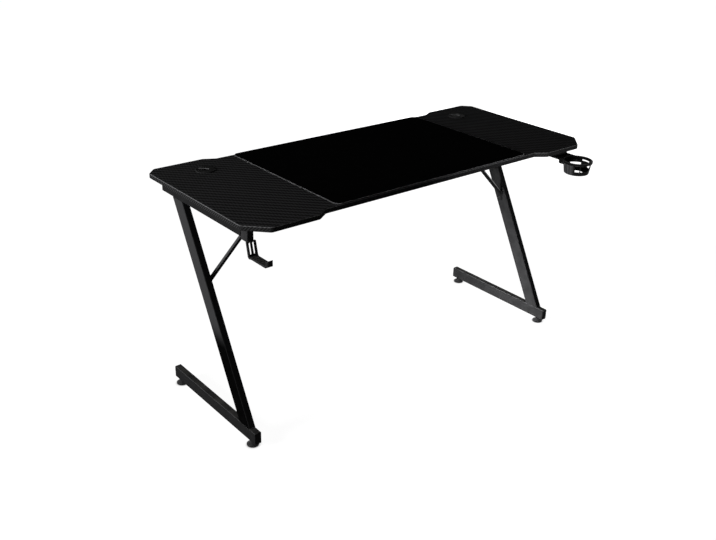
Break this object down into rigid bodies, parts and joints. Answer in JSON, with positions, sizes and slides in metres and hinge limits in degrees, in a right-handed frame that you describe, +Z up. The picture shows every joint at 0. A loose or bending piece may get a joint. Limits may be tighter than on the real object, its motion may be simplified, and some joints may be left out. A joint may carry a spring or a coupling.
{
  "type": "gaming desk",
  "caption": "Gaming desk: wing-shaped carbon-look board with a full mouse pad on leaning steel legs, with cable grommets, headphone hook and cup holder.",
  "frame": {"origin": "on the floor, under the middle of the whole desk's bounding box", "axes": "+X along the desk to the user's right, +Y from the user to the rear edge, +Z up"},
  "size_m": [1.4, 0.71, 0.744],
  "materials": {
    "board_finish": "dark carbon-look wrap over fibreboard, satin",
    "pad_cloth": "fine black cloth on rubber, grey sewn edge",
    "leg_paint": "fine-textured dark grey powder coat",
    "black_plastic": "black moulded plastic, fine grain",
    "gloss_plastic": "black moulded plastic, polished",
    "screw_steel": "blackened steel"
  },
  "bodies": {
    "desk": {"desktop": "board_finish", "mouse_pad": "pad_cloth", "crossbeam": "leg_paint", "beam_end_plates": "leg_paint", "top_bar_caps": "black_plastic", "foot_bar_caps": "black_plastic", "foot_nuts": "screw_steel", "beam_bolts": "screw_steel", "beam_nuts": "screw_steel", "brace_screws": "screw_steel", "board_screws": "screw_steel", "headphone_hook": "black_plastic", "hook_screws": "screw_steel", "cup_holder": "gloss_plastic", "cup_holder_screws": "screw_steel", "top_bar_left": "leg_paint", "post_left": "leg_paint", "foot_bar_left": "leg_paint", "brace_left": "leg_paint", "grommet_liner_left": "black_plastic", "top_bar_right": "leg_paint", "post_right": "leg_paint", "foot_bar_right": "leg_paint", "brace_right": "leg_paint", "grommet_liner_right": "black_plastic"},
    "cap_left": {"grommet_cap_left": "black_plastic"},
    "cap_right": {"grommet_cap_right": "black_plastic"},
    "foot_front_left": {"levelling_foot_front_left": "black_plastic"},
    "foot_rear_left": {"levelling_foot_rear_left": "black_plastic"},
    "foot_front_right": {"levelling_foot_front_right": "black_plastic"},
    "foot_rear_right": {"levelling_foot_rear_right": "black_plastic"}
  },
  "joints": [
    {"name": "grommet_cap_turn_left", "type": "hinge", "parent": "desk", "child": "cap_left", "pos_m": [-0.545, 0.254, 0.742], "axis": [0, 0, 1], "continuous": true},
    {"name": "grommet_cap_turn_right", "type": "hinge", "parent": "desk", "child": "cap_right", "pos_m": [0.545, 0.254, 0.742], "axis": [0, 0, 1], "continuous": true},
    {"name": "levelling_front_left", "type": "slide", "parent": "desk", "child": "foot_front_left", "axis": [0, 0, -1], "range_m": [0, 0.015]},
    {"name": "levelling_rear_left", "type": "slide", "parent": "desk", "child": "foot_rear_left", "axis": [0, 0, -1], "range_m": [0, 0.015]},
    {"name": "levelling_front_right", "type": "slide", "parent": "desk", "child": "foot_front_right", "axis": [0, 0, -1], "range_m": [0, 0.015]},
    {"name": "levelling_rear_right", "type": "slide", "parent": "desk", "child": "foot_rear_right", "axis": [0, 0, -1], "range_m": [0, 0.015]}
  ]
}
